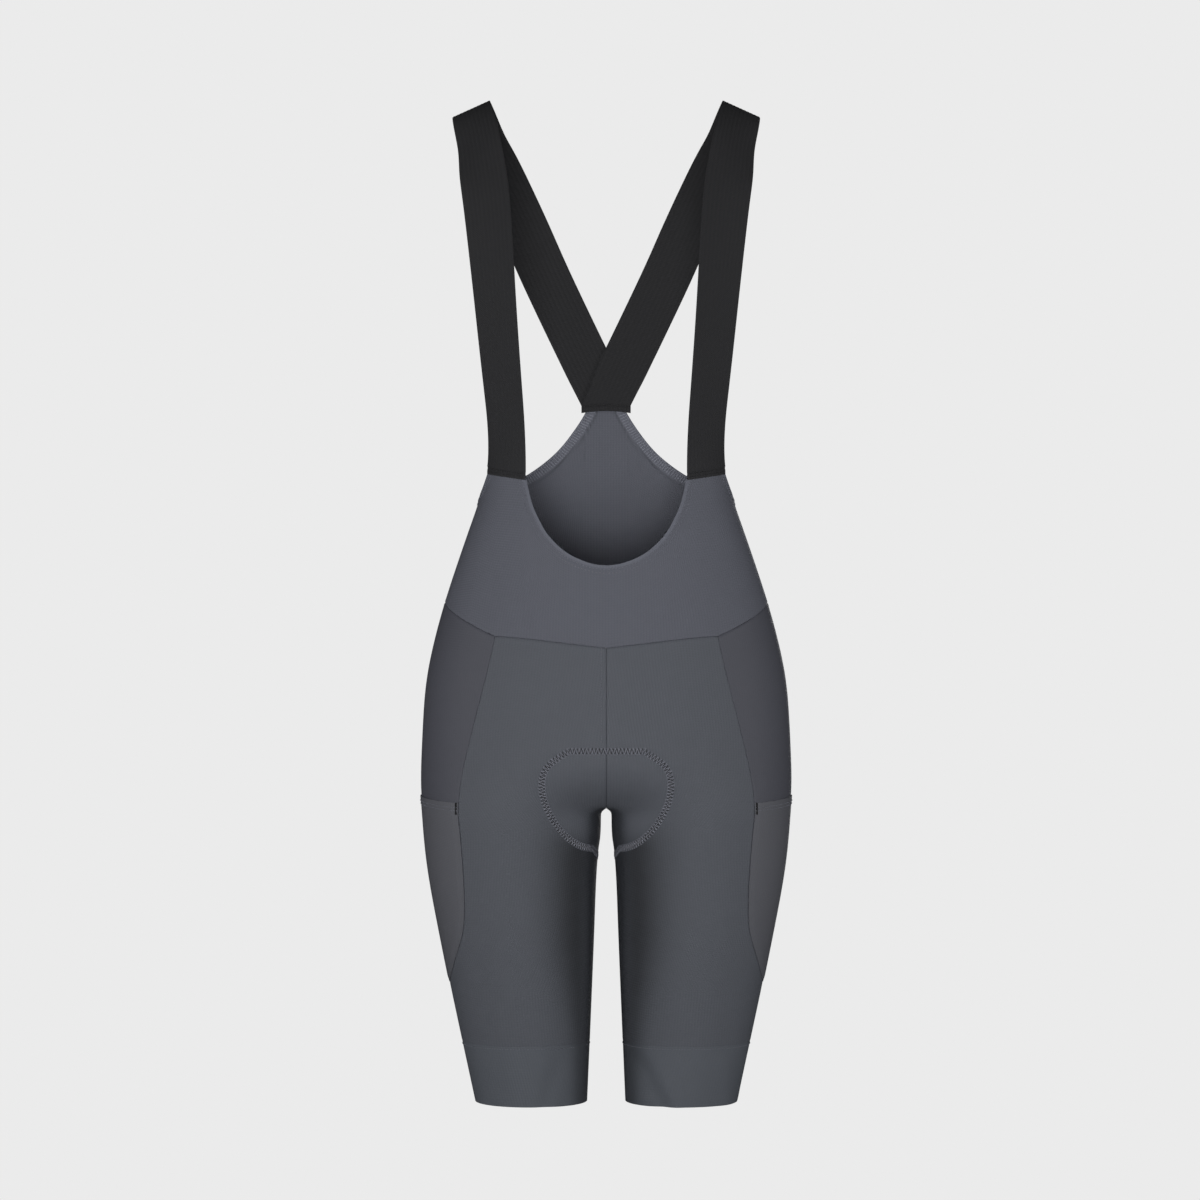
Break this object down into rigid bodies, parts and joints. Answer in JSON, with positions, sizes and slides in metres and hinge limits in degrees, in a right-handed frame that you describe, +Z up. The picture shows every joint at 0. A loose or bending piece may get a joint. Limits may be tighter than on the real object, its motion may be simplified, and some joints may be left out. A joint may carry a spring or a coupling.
{
  "type": "cycling bib shorts",
  "caption": "Cycling bib shorts filled out as worn, with a scooped bib, cargo pockets on the side panels, a seat pad and wide elastic straps that cross at the back.",
  "frame": {"origin": "midway between the shoulders, level with the underside of the straps at their highest point", "axes": "+X to the wearer's left, +Y to the wearer's back, +Z up"},
  "size_m": [0.346, 0.2248, 0.9298],
  "materials": {
    "knit": "matt slate grey stretch knit",
    "leg_knit": "matt slate grey stretch knit, slightly darker",
    "side_knit": "smooth slate grey stretch knit",
    "elastic": "matt black ribbed elastic webbing",
    "pad": "brushed dark grey pad cloth over foam"
  },
  "bodies": {
    "root": {"front_bib": "knit", "back_bib": "knit", "front_leg_left": "leg_knit", "front_leg_right": "leg_knit", "back_leg_left": "leg_knit", "back_leg_right": "leg_knit", "side_panel_left": "side_knit", "side_panel_right": "side_knit", "pocket_left": "side_knit", "pocket_right": "side_knit", "leg_band_left": "leg_knit", "leg_band_right": "leg_knit", "strap_left": "elastic", "strap_right": "elastic", "seat_pad": "pad"}
  },
  "joints": []
}
